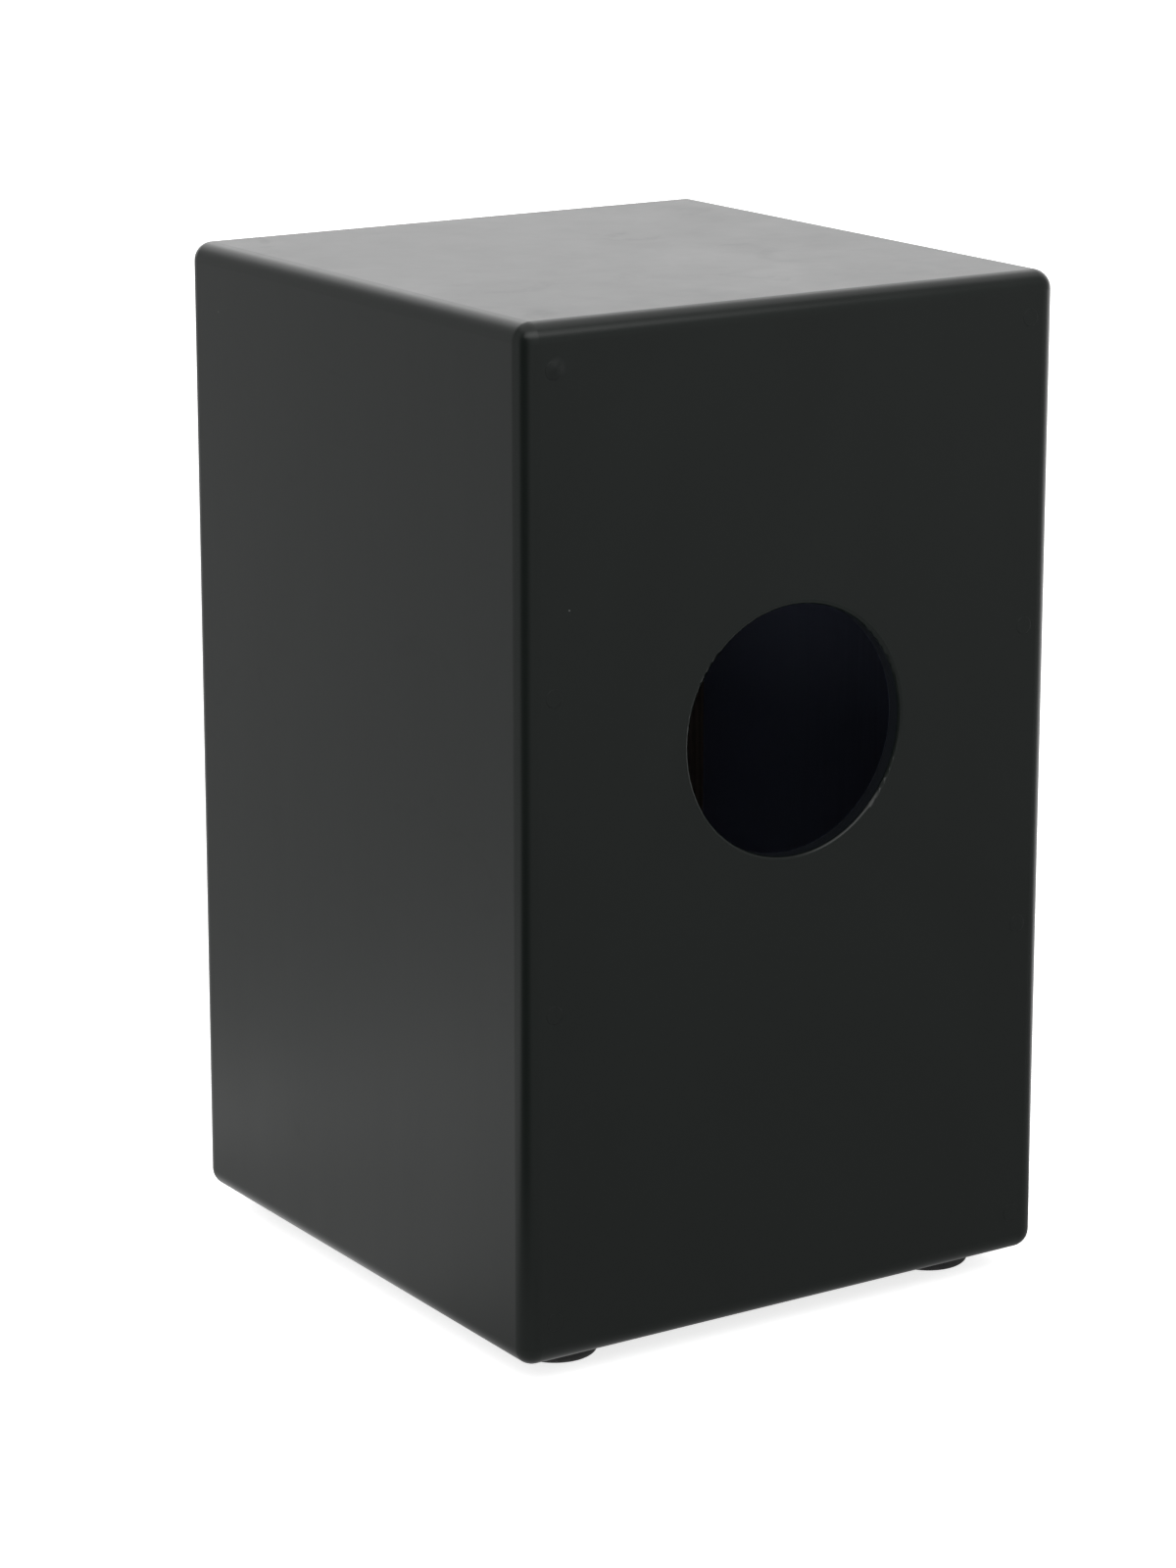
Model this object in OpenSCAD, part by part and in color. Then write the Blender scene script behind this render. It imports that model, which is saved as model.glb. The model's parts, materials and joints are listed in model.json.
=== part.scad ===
// A box drum that the player sits on: a six-sided wooden box with a thin striking plate (the tapa)
// in front, a round sound hole in the back, four rubber feet, and a hinged rocker with two sets of
// snare strands that lean against the inside of the tapa.
// The tapa faces -Y, the sound hole +Y. Left and right are the seated player's: left is +X.

/* [Box] */
// Width of the box, from side to side
box_w = 294; // [270:1:330]
// Depth of the box, from the tapa's face to the back panel's face
box_d = 302; // [280:1:340]
// Height of the box without its feet
box_h = 480; // [450:1:520]
// Thickness of the top, bottom and side panels
panel_t = 12; // [10:0.5:15]
// Thickness of the back panel
back_t = 8; // [7:0.5:12]
// Thickness of the tapa
tapa_t = 3; // [3:0.5:4]
// Radius of the round-over along every outer edge of the box
edge_r = 9; // [4:0.5:9.5]

/* [Sound hole] */
// Diameter of the sound hole
hole_d = 118; // [100:1:130]
// Height of the sound hole's centre above the box's underside
hole_h = 280; // [220:1:320]
// Radius of the round-over on the sound hole's outer rim
hole_rim_r = 2; // [1:0.5:3]

/* [Battens] */
// Thickness of every batten, measured away from the panel that it is glued to
batten_t = 18; // [16:1:22]
// How far the front battens reach back from the tapa
front_batten_d = 29; // [26:1:34]
// How far the back battens reach forward from the back panel
back_batten_d = 18; // [16:1:24]

/* [Panel screws] */
// Distance from the box's outer edges to the lines of screws
screw_inset = 16; // [16:0.5:19]
// Distance from the box's top and underside to the first and last screw of each upright line
screw_end = 21; // [20:1:30]
// Screws in each upright line of the tapa
tapa_rows = 6; // [4:1:8]
// Screws in each upright line of the back panel
back_rows = 4; // [2:1:6]
// Screws between the corners along the tapa's top and bottom edges
tapa_mid = 2; // [1:1:4]
// Shank diameter of the panel screws
screw_d = 3.5; // [3:0.5:4]
// Head diameter of the panel screws
screw_head_d = 7; // [6:0.5:8]

/* [Feet] */
// Diameter of each foot
foot_d = 40; // [30:1:44]
// Height of each foot
foot_h = 9; // [9:1:16]
// Distance from the box's sides to each foot's centre
foot_side_inset = 39; // [32:1:60]
// Distance from the box's front and back to each foot's centre
foot_end_inset = 36; // [32:1:60]
// Radius of the round-over on the foot's lower edge
foot_round = 3; // [1:0.5:4]

/* [Snare rocker] */
// Height of the rocker's pivot above the box's underside
pivot_h = 342; // [300:1:344]
// Angle by which the rocker leans towards the tapa when the snare is on
snare_lean = 12; // [11:0.5:13]
// Strands in each of the two sets
strand_count = 10; // [6:1:12]
// Outer diameter of one coiled strand
strand_d = 2.2; // [1.8:0.1:2.4]
// Distance between the centres of neighbouring strands
strand_step = 4.2; // [3:0.1:4.4]
// How far the strands' free tips are from the pivot
strand_reach = 100; // [90:1:104]
// Clear gap between the strands' tips and the tapa
strand_gap = 0.6; // [0.5:0.1:1]
// Thickness of the rocker's wooden bar
bar_t = 15; // [12:0.5:16]
// How far the bar reaches above the pivot
bar_up = 20; // [18:1:24]
// How far the bar reaches below the pivot
bar_down = 40; // [38:1:44]

/* [Hidden] */

$fn = 64;
// Overshoot of a cutting shape past the face that it cuts
cut = 1;
// Radial clearance of a fixed piece in its hole
fit_gap = 0.05;

// Planes of the box
under_z = foot_h;
top_z = foot_h + box_h;
front_y = -box_d / 2 + tapa_t;
back_y = box_d / 2 - back_t;
inner_x = box_w / 2 - panel_t;
inner_low = under_z + panel_t;
inner_top = top_z - panel_t;
panel_d = back_y - front_y;
hole_z = under_z + hole_h;

// Screws
screw_tip = 4;
tapa_screw_l = 25;
back_screw_l = 20;
plug_d = 8.4;
plug_t = 2;
recess_w = 0.9;
recess_share = 0.62;
recess_depth = 1.5;
screw_x = box_w / 2 - screw_inset;
low_screw_z = under_z + screw_end;
high_screw_z = top_z - screw_end;

// Feet
foot_x = box_w / 2 - foot_side_inset;
foot_y = box_d / 2 - foot_end_inset;
foot_well_d = 16;
foot_well_h = 5;
washer_d = 14;
washer_t = 1;
foot_screw_d = 4;
foot_screw_head_d = 8;
foot_screw_head_h = 2.4;
foot_screw_l = 13;
foot_screw_hole_h = foot_screw_l + foot_well_h - foot_h;

// Snare rocker: its own frame has the pivot at the origin, -Y towards the tapa and +Z along the strands
plate_w = (strand_count - 1) * strand_step + 8;
plate_t = 0.8;
plate_low = 0;
plate_top = 17;
strand_low = 8;
strand_y = -bar_t / 2 - plate_t - strand_d / 2;
strand_front = -strand_y + strand_d / 2;
set_x = 50;
plate_screw_d = 3;
plate_screw_head_d = 5.6;
plate_screw_head_h = 1.7;
plate_screw_l = 10;
plate_screw_z = 3.6;
plate_screw_x = plate_w / 2 - 6;
pivot_setback = strand_gap + strand_reach * sin(snare_lean) + strand_front * cos(snare_lean);
pivot_y = front_y + pivot_setback;
pivot_z = under_z + pivot_h;
pin_d = 6;
pin_in_bar = 15;
bush_d = 9;
bush_flange_d = 14;
bush_flange_t = 1;
bush_bore_d = pin_d + 2 * fit_gap;
friction_washer_t = 0.9;
friction_washer_room = 1;
pin_end_gap = 0.5;
felt_t = 3;
felt_h = 12;
block_t = 12;
block_d = 44;
block_h = 50;
block_front_gap = 6;
block_screw_l = 24;
block_screw_dz = 16;
batten_in = inner_x - batten_t;
block_in = batten_in - block_t;
bar_end = block_in - bush_flange_t - friction_washer_room;
bar_round = 2.5;
pin_l = pin_in_bar + friction_washer_room + bush_flange_t + block_t - pin_end_gap;

// Rounded rectangle, centred
module rounded_rect(w, h, r) {
    square([w - 2 * r, h], center = true);
    square([w, h - 2 * r], center = true);
    for (sx = [-1, 1], sy = [-1, 1])
        translate([sx * (w / 2 - r), sy * (h / 2 - r)])
            circle(r);
}

// The whole box as one solid form, with every outer edge and corner rounded over
module box_form() {
    flat_w = box_w - 2 * edge_r;
    flat_d = box_d - 2 * edge_r;
    flat_h = box_h - 2 * edge_r;
    translate([0, 0, under_z + box_h / 2]) {
        cube([box_w, flat_d, flat_h], center = true);
        cube([flat_w, box_d, flat_h], center = true);
        cube([flat_w, flat_d, box_h], center = true);
        for (sx = [-1, 1], sy = [-1, 1])
            translate([sx * flat_w / 2, sy * flat_d / 2, 0])
                cylinder(h = flat_h, r = edge_r, center = true);
        for (sx = [-1, 1], sz = [-1, 1])
            translate([sx * flat_w / 2, 0, sz * flat_h / 2])
                rotate([90, 0, 0])
                    cylinder(h = flat_d, r = edge_r, center = true);
        for (sy = [-1, 1], sz = [-1, 1])
            translate([0, sy * flat_d / 2, sz * flat_h / 2])
                rotate([0, 90, 0])
                    cylinder(h = flat_w, r = edge_r, center = true);
        for (sx = [-1, 1], sy = [-1, 1], sz = [-1, 1])
            translate([sx * flat_w / 2, sy * flat_d / 2, sz * flat_h / 2])
                sphere(edge_r);
    }
}

// A plain board given by its low corner and its size, cut to the box's rounded form
module board(corner, size) {
    intersection() {
        box_form();
        translate(corner)
            cube(size);
    }
}

// Countersunk screw along +Z, pointing down, with its head's face at z = 0
module wood_screw(length, d, head) {
    cone = (head - d) / 2;
    difference() {
        union() {
            translate([0, 0, -cone])
                cylinder(h = cone, d1 = d, d2 = head);
            translate([0, 0, screw_tip - length])
                cylinder(h = length - screw_tip - cone, d = d);
            translate([0, 0, -length])
                cylinder(h = screw_tip, d1 = d / 4, d2 = d);
        }
        cross_recess(head);
    }
}

// Cross recess cut into a head's face at z = 0
module cross_recess(head) {
    for (turn = [0, 90])
        rotate([0, 0, turn])
            translate([0, 0, -recess_depth / 2 + cut / 2])
                cube([head * recess_share, recess_w, recess_depth + cut], center = true);
}

// Pan-head screw along +Z, pointing down, with its head's underside at z = 0
module pan_screw(length, d, head, head_height) {
    difference() {
        union() {
            cylinder(h = head_height, d1 = head, d2 = head * 0.8);
            translate([0, 0, screw_tip - length])
                cylinder(h = length - screw_tip, d = d);
            translate([0, 0, -length])
                cylinder(h = screw_tip, d1 = d / 4, d2 = d);
        }
        translate([0, 0, head_height])
            cross_recess(head);
    }
}

// Hole for a wood_screw, open upwards
module wood_screw_hole(length, d, head) {
    cone = (head - d) / 2;
    translate([0, 0, -cone])
        cylinder(h = cone, d1 = d + 2 * fit_gap, d2 = head + 2 * fit_gap);
    cylinder(h = cut, d = head + 2 * fit_gap);
    translate([0, 0, -length - cut])
        cylinder(h = length + cut, d = d + 2 * fit_gap);
}

// Places of the tapa's screws, on the tapa's face
module at_tapa_screws() {
    for (side = [-1, 1], row = [0 : tapa_rows - 1])
        translate([side * screw_x, -box_d / 2,
            low_screw_z + row * (high_screw_z - low_screw_z) / (tapa_rows - 1)])
            rotate([90, 0, 0])
                children();
    for (z = [under_z + screw_inset, top_z - screw_inset], i = [1 : tapa_mid])
        translate([screw_x * (2 * i / (tapa_mid + 1) - 1), -box_d / 2, z])
            rotate([90, 0, 0])
                children();
}

// Places of the back panel's screws, on the floor of the plug recesses
module at_back_screws() {
    for (side = [-1, 1], row = [0 : back_rows - 1])
        translate([side * screw_x, box_d / 2 - plug_t,
            low_screw_z + row * (high_screw_z - low_screw_z) / (back_rows - 1)])
            rotate([-90, 0, 0])
                children();
}

// Places of the feet, on the floor
module at_feet() {
    for (sx = [-1, 1], sy = [-1, 1])
        translate([sx * foot_x, sy * foot_y, 0])
            children();
}

// Places of the screws that hold the pivot blocks to the front battens
module at_block_screws() {
    for (side = [-1, 1], dz = [-1, 1])
        translate([side * block_in, front_y + front_batten_d / 2, pivot_z + dz * block_screw_dz])
            rotate([0, -side * 90, 0])
                children();
}

// The rocker's own frame, set at the pivot and leaned towards the tapa
module on_rocker() {
    translate([0, pivot_y, pivot_z])
        rotate([snare_lean, 0, 0])
            children();
}

module top_panel() {
    color([0.14, 0.14, 0.15])
        board([-box_w / 2, front_y, inner_top], [box_w, panel_d, panel_t]);
}

module bottom_panel() {
    color([0.13, 0.13, 0.14])
        difference() {
            board([-box_w / 2, front_y, under_z], [box_w, panel_d, panel_t]);
            at_feet()
                translate([0, 0, under_z - cut])
                    cylinder(h = foot_screw_hole_h + cut, d = foot_screw_d + 2 * fit_gap);
        }
}

module side_panel(side) {
    color([0.13, 0.13, 0.14])
        board([side > 0 ? inner_x : -box_w / 2, front_y, inner_low],
            [panel_t, panel_d, inner_top - inner_low]);
}

// Round cutter for the sound hole, along +Y, flared where the rim is rounded over
module sound_hole_cutter() {
    translate([0, back_y - cut, hole_z])
        rotate([-90, 0, 0])
            cylinder(h = back_t + 2 * cut, d = hole_d);
    translate([0, box_d / 2, hole_z])
        rotate([-90, 0, 0])
            rotate_extrude()
                difference() {
                    translate([0, -hole_rim_r])
                        square([hole_d / 2 + hole_rim_r, hole_rim_r + cut]);
                    translate([hole_d / 2 + hole_rim_r, -hole_rim_r])
                        circle(hole_rim_r);
                }
}

module back_panel() {
    color([0.11, 0.11, 0.12])
        difference() {
            board([-box_w / 2, back_y, under_z], [box_w, back_t, box_h]);
            sound_hole_cutter();
            at_back_screws() {
                wood_screw_hole(back_screw_l, screw_d, screw_head_d);
                cylinder(h = plug_t + cut, d = plug_d + 2 * fit_gap);
            }
        }
}

module tapa() {
    color([0.10, 0.09, 0.085])
        difference() {
            board([-box_w / 2, -box_d / 2, under_z], [box_w, tapa_t, box_h]);
            at_tapa_screws()
                wood_screw_hole(tapa_screw_l, screw_d, screw_head_d);
        }
}

module front_upright_batten(side) {
    color([0.42, 0.30, 0.19])
        difference() {
            translate([side > 0 ? batten_in : -inner_x, front_y, inner_low])
                cube([batten_t, front_batten_d, inner_top - inner_low]);
            at_tapa_screws()
                wood_screw_hole(tapa_screw_l, screw_d, screw_head_d);
            at_block_screws()
                wood_screw_hole(block_screw_l, screw_d, screw_head_d);
        }
}

module front_cross_batten(low_z) {
    color([0.44, 0.32, 0.20])
        difference() {
            translate([-batten_in, front_y, low_z])
                cube([2 * batten_in, front_batten_d, batten_t]);
            at_tapa_screws()
                wood_screw_hole(tapa_screw_l, screw_d, screw_head_d);
        }
}

module back_upright_batten(side) {
    color([0.42, 0.30, 0.19])
        difference() {
            translate([side > 0 ? batten_in : -inner_x, back_y - back_batten_d, inner_low])
                cube([batten_t, back_batten_d, inner_top - inner_low]);
            at_back_screws()
                wood_screw_hole(back_screw_l, screw_d, screw_head_d);
        }
}

module back_cross_batten(low_z) {
    color([0.44, 0.32, 0.20])
        translate([-batten_in, back_y - back_batten_d, low_z])
            cube([2 * batten_in, back_batten_d, batten_t]);
}

module tapa_screws() {
    color([0.20, 0.20, 0.21])
        at_tapa_screws()
            wood_screw(tapa_screw_l, screw_d, screw_head_d);
}

module back_screws() {
    color([0.62, 0.58, 0.45])
        at_back_screws()
            wood_screw(back_screw_l, screw_d, screw_head_d);
}

module back_screw_plugs() {
    color([0.12, 0.12, 0.13])
        at_back_screws()
            cylinder(h = plug_t, d = plug_d);
}

module foot(sx, sy) {
    color([0.05, 0.05, 0.055])
        translate([sx * foot_x, sy * foot_y, 0])
            rotate_extrude()
                difference() {
                    union() {
                        square([foot_d / 2 - foot_round, foot_h]);
                        translate([0, foot_round])
                            square([foot_d / 2, foot_h - foot_round]);
                        translate([foot_d / 2 - foot_round, foot_round])
                            circle(foot_round);
                    }
                    translate([0, -cut])
                        square([foot_well_d / 2, foot_well_h + cut]);
                    square([foot_screw_d / 2 + fit_gap, foot_h + cut]);
                }
}

module foot_washers() {
    color([0.72, 0.72, 0.74])
        at_feet()
            translate([0, 0, foot_well_h - washer_t])
                difference() {
                    cylinder(h = washer_t, d = washer_d);
                    translate([0, 0, -cut])
                        cylinder(h = washer_t + 2 * cut, d = foot_screw_d + 2 * fit_gap);
                }
}

module foot_screws() {
    color([0.68, 0.68, 0.70])
        at_feet()
            translate([0, 0, foot_well_h - washer_t])
                rotate([180, 0, 0])
                    pan_screw(foot_screw_l, foot_screw_d, foot_screw_head_d, foot_screw_head_h);
}

module pivot_block(side) {
    color([0.55, 0.38, 0.22])
        difference() {
            translate([side > 0 ? block_in : -batten_in, front_y + block_front_gap, pivot_z - block_h / 2])
                cube([block_t, block_d, block_h]);
            at_block_screws()
                wood_screw_hole(block_screw_l, screw_d, screw_head_d);
            translate([side * (block_in - cut), pivot_y, pivot_z])
                rotate([0, side * 90, 0])
                    cylinder(h = block_t + 2 * cut, d = bush_d + 2 * fit_gap);
        }
}

module pivot_block_screws() {
    color([0.62, 0.58, 0.45])
        at_block_screws()
            wood_screw(block_screw_l, screw_d, screw_head_d);
}

// Flanged bush: the sleeve fills the block, the flange faces the rocker
module pivot_bush(side) {
    color([0.88, 0.87, 0.82])
        translate([side * (block_in - bush_flange_t), pivot_y, pivot_z])
            rotate([0, side * 90, 0])
                difference() {
                    union() {
                        cylinder(h = bush_flange_t, d = bush_flange_d);
                        cylinder(h = bush_flange_t + block_t, d = bush_d);
                    }
                    translate([0, 0, -cut])
                        cylinder(h = bush_flange_t + block_t + 2 * cut, d = bush_bore_d);
                }
}

// Places of the plate screws on the bar's front face, in the rocker's own frame
module at_plate_screws() {
    for (side = [-1, 1], dx = [-1, 1])
        translate([side * set_x + dx * plate_screw_x, -bar_t / 2 - plate_t, plate_screw_z])
            rotate([90, 0, 0])
                children();
}

module snare_bar() {
    color([0.62, 0.45, 0.28])
        on_rocker()
            difference() {
                translate([0, 0, (bar_up - bar_down) / 2])
                    rotate([90, 0, 90])
                        linear_extrude(2 * bar_end, center = true)
                            rounded_rect(bar_t, bar_up + bar_down, bar_round);
                for (side = [-1, 1])
                    translate([side * (bar_end - pin_in_bar), 0, 0])
                        rotate([0, side * 90, 0])
                            cylinder(h = pin_in_bar + cut, d = pin_d + 2 * fit_gap);
                at_plate_screws()
                    translate([0, 0, -plate_screw_l - cut])
                        cylinder(h = plate_screw_l + cut, d = plate_screw_d + 2 * fit_gap);
            }
}

module snare_plate(side) {
    color([0.74, 0.64, 0.36])
        on_rocker()
            difference() {
                translate([side * set_x - plate_w / 2, -bar_t / 2 - plate_t, plate_low])
                    cube([plate_w, plate_t, plate_top - plate_low]);
                at_plate_screws()
                    translate([0, 0, -plate_t - cut])
                        cylinder(h = plate_t + 2 * cut, d = plate_screw_d + 2 * fit_gap);
            }
}

module snare_strands(side) {
    color([0.75, 0.75, 0.77])
        on_rocker()
            for (i = [0 : strand_count - 1])
                translate([side * set_x + (i - (strand_count - 1) / 2) * strand_step, strand_y - fit_gap / 2,
                    strand_low])
                    cylinder(h = strand_reach - strand_low, d = strand_d);
}

module snare_plate_screws() {
    color([0.62, 0.58, 0.45])
        on_rocker()
            at_plate_screws()
                pan_screw(plate_screw_l, plate_screw_d, plate_screw_head_d, plate_screw_head_h);
}

module pivot_pins() {
    color([0.70, 0.70, 0.72])
        for (side = [-1, 1])
            translate([side * (bar_end - pin_in_bar), pivot_y, pivot_z])
                rotate([0, side * 90, 0])
                    cylinder(h = pin_l, d = pin_d);
}

module friction_washers() {
    color([0.10, 0.10, 0.10])
        for (side = [-1, 1])
            translate([side * bar_end, pivot_y, pivot_z])
                rotate([0, side * 90, 0])
                    difference() {
                        cylinder(h = friction_washer_t, d = bush_flange_d);
                        translate([0, 0, -cut])
                            cylinder(h = friction_washer_t + 2 * cut, d = pin_d + 2 * fit_gap);
                    }
}

module felt_strip() {
    color([0.20, 0.22, 0.21])
        on_rocker()
            translate([-bar_end + bar_round, -bar_t / 2 - felt_t, -bar_down + bar_round])
                cube([2 * (bar_end - bar_round), felt_t, felt_h]);
}

top_panel();
bottom_panel();
side_panel(1);  // left_side_panel
side_panel(-1);  // right_side_panel
back_panel();
tapa();
front_upright_batten(1);  // front_left_batten
front_upright_batten(-1);  // front_right_batten
front_cross_batten(inner_top - batten_t);  // front_top_batten
front_cross_batten(inner_low);  // front_bottom_batten
back_upright_batten(1);  // back_left_batten
back_upright_batten(-1);  // back_right_batten
back_cross_batten(inner_top - batten_t);  // back_top_batten
back_cross_batten(inner_low);  // back_bottom_batten
tapa_screws();
back_screws();
back_screw_plugs();
foot(1, -1);  // foot_front_left
foot(-1, -1);  // foot_front_right
foot(1, 1);  // foot_back_left
foot(-1, 1);  // foot_back_right
foot_washers();
foot_screws();
pivot_block(1);  // left_pivot_block
pivot_block(-1);  // right_pivot_block
pivot_block_screws();
pivot_bush(1);  // left_pivot_bush
pivot_bush(-1);  // right_pivot_bush
snare_bar();
snare_plate(1);  // left_snare_plate
snare_plate(-1);  // right_snare_plate
snare_strands(1);  // left_snare_strands
snare_strands(-1);  // right_snare_strands
snare_plate_screws();
pivot_pins();
friction_washers();
felt_strip();
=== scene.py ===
"""Looks of the box drum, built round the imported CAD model. Metres, in the model's own frame:
+Z up, the tapa (struck front) faces -Y, the sound hole faces +Y, the player's left is +X."""

import json
import math
import random

import bmesh
import bpy
from mathutils import Matrix, Vector, noise


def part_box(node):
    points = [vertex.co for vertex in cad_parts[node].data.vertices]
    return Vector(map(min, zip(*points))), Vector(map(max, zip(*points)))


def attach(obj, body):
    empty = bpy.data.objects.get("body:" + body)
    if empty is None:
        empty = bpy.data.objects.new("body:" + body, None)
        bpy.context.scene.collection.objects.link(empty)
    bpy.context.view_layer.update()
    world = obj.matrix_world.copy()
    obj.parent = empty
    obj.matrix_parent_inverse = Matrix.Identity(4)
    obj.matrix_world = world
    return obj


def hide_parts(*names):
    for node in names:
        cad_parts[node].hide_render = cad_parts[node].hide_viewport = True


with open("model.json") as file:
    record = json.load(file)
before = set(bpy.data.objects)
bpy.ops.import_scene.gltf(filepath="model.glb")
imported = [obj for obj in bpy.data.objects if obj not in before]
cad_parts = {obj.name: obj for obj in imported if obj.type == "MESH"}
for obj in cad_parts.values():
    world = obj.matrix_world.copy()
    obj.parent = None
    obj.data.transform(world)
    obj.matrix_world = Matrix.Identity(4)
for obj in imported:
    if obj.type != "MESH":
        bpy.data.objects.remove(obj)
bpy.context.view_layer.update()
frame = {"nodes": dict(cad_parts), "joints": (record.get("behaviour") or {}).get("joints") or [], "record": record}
nodes = frame["nodes"]
record = frame["record"]

MM = 0.001


# ---------------------------------------------------------------- measures from the frame

BACK_LOW, BACK_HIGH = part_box("back_panel")
BACK_Y = BACK_HIGH.y
UNDER_Z, TOP_Z = BACK_LOW.z, BACK_HIGH.z
HALF_W = BACK_HIGH.x
SIDE_LOW, SIDE_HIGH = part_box("left_side_panel")
INNER_X = SIDE_LOW.x
INNER_LOW, INNER_TOP = SIDE_LOW.z, SIDE_HIGH.z
INNER_BACK_Y = BACK_LOW.y
INNER_FRONT_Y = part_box("tapa")[1].y
BOX_CENTRE = Vector((0, 0, (UNDER_Z + TOP_Z) / 2))
EDGE_R = 9 * MM  # round-over along the box's outer edges
RIM_R = 2 * MM  # round-over of the sound hole's rim
SKIN = 0.05 * MM  # how far a mask reaches past a face, so that the face itself is in it


def joint(name):
    """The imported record's joint of that name."""
    return next(j for j in frame["joints"] if j["name"] == name)


PIVOT = Vector(joint("snare_rocker_hinge")["pos_m"])
SOUND_HOLE = next(m for m in record["mounts"] if m["name"] == "sound_hole")
HOLE_Z = SOUND_HOLE["pos_m"][2]
HOLE_R = SOUND_HOLE["dims"]["r_mm"] * MM


# ---------------------------------------------------------------- camera

CAMERA_FROM = (146.5668, 14.5341)  # azimuth and elevation of the camera, seen from the box's centre
CAMERA_AXIS = (146.8925, 13.8325)  # azimuth and elevation that its optical axis comes from
CAMERA_DISTANCE = 2.2385
CAMERA_LENS_MM = 105.995
CAMERA_SHIFT_Y = -0.06
CAMERA_CLIP = (0.05, 60.0)
SENSOR_MM = 36.0


def direction(azimuth, elevation):
    """Unit vector towards that azimuth and elevation in degrees: azimuth 0 is -Y, 90 is +X."""
    a, e = math.radians(azimuth), math.radians(elevation)
    return Vector((math.sin(a) * math.cos(e), -math.cos(a) * math.cos(e), math.sin(e)))


def make_camera():
    """A long lens behind the drum, to the player's left of it, a little above the seat."""
    data = bpy.data.cameras.new("camera")
    data.sensor_width = SENSOR_MM
    data.lens = CAMERA_LENS_MM
    data.shift_y = CAMERA_SHIFT_Y
    data.clip_start, data.clip_end = CAMERA_CLIP
    camera = bpy.data.objects.new("camera", data)
    bpy.context.scene.collection.objects.link(camera)
    camera.location = BOX_CENTRE + direction(*CAMERA_FROM) * CAMERA_DISTANCE
    camera.rotation_mode = "QUATERNION"
    camera.rotation_quaternion = (-direction(*CAMERA_AXIS)).to_track_quat("-Z", "Y")
    bpy.context.scene.camera = camera


# ---------------------------------------------------------------- node helpers

def add(tree, kind, settings=None, **inputs):
    """A new shader node. settings are its properties; inputs are values or sockets, by input name."""
    made = tree.nodes.new(kind)
    for key, value in (settings or {}).items():
        setattr(made, key, value)
    for key, value in inputs.items():
        plug(tree, made, key.replace("_", " "), value)
    return made


def plug(tree, made, key, value):
    """Sets one input by its name or number, to a value or from another node's socket."""
    socket = made.inputs[key]
    if isinstance(value, bpy.types.NodeSocket):
        tree.links.new(value, socket)
    else:
        socket.default_value = value


def calc(tree, operation, a, b=0.0, clamp=False):
    """The result of one Math node."""
    made = tree.nodes.new("ShaderNodeMath")
    made.operation = operation
    made.use_clamp = clamp
    plug(tree, made, 0, a)
    plug(tree, made, 1, b)
    return made.outputs[0]


def product(tree, first, *others):
    """All the values multiplied together."""
    for other in others:
        first = calc(tree, "MULTIPLY", first, other)
    return first


def total(tree, first, *others):
    """All the values added together."""
    for other in others:
        first = calc(tree, "ADD", first, other)
    return first


def less(tree, a, b):
    """a less b."""
    return calc(tree, "SUBTRACT", a, b)


def length(tree, a, b):
    """The length of a vector with those two coordinates."""
    return calc(tree, "SQRT", total(tree, product(tree, a, a), product(tree, b, b)))


def remap(tree, value, low, high, to_low=0.0, to_high=1.0, smooth=False):
    """value taken from low..high to to_low..to_high, held at the ends."""
    made = tree.nodes.new("ShaderNodeMapRange")
    made.interpolation_type = "SMOOTHSTEP" if smooth else "LINEAR"
    for key, number in (("From Min", low), ("From Max", high), ("To Min", to_low), ("To Max", to_high)):
        plug(tree, made, key, number)
    plug(tree, made, "Value", value)
    return made.outputs["Result"]


def mix_colour(tree, factor, a, b):
    """Colour a at factor 0, b at 1."""
    made = tree.nodes.new("ShaderNodeMix")
    made.data_type = "RGBA"
    plug(tree, made, 0, factor)
    plug(tree, made, 6, rgba(a))
    plug(tree, made, 7, rgba(b))
    return made.outputs[2]


def rgba(colour):
    """A colour with its alpha, or the socket that was given."""
    return (*colour, 1.0) if isinstance(colour, tuple) and len(colour) == 3 else colour


def shaded(colour, factor):
    """A colour multiplied by a number."""
    return tuple(factor * part for part in colour)


def noise_at(tree, vector, scale, detail=3.0, roughness=0.5, distortion=0.0):
    """Noise, 0 to 1, at so many features per metre."""
    made = add(tree, "ShaderNodeTexNoise", Vector=vector, Scale=scale, Detail=detail, Roughness=roughness,
               Distortion=distortion)
    return made.outputs["Fac"]


def stretched(tree, vector, factors):
    """vector scaled along each axis, which stretches a pattern that reads it."""
    return add(tree, "ShaderNodeMapping", Vector=vector, Scale=factors).outputs["Vector"]


def bump(tree, height, distance, strength, under=None):
    """A Bump node's normal, on top of another one's."""
    made = add(tree, "ShaderNodeBump", Height=height, Distance=distance, Strength=strength)
    if under is not None:
        plug(tree, made, "Normal", under)
    return made.outputs["Normal"]


def split(tree, vector):
    """The three coordinates of a vector."""
    made = add(tree, "ShaderNodeSeparateXYZ", Vector=vector)
    return made.outputs[0], made.outputs[1], made.outputs[2]


def specks(tree, place, per_metre, radius_share, keep):
    """1 in small round specks, one in each kept cell of a loose grid, and 0 elsewhere. radius_share is a
    speck's radius in cells, and keep the share of the cells that hold one."""
    cells = add(tree, "ShaderNodeTexVoronoi", Vector=place, Scale=per_metre)
    dot = remap(tree, cells.outputs["Distance"], radius_share * 0.6, radius_share, 1.0, 0.0)
    chosen = calc(tree, "LESS_THAN", split(tree, cells.outputs["Color"])[0], keep)
    return product(tree, dot, chosen)


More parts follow.
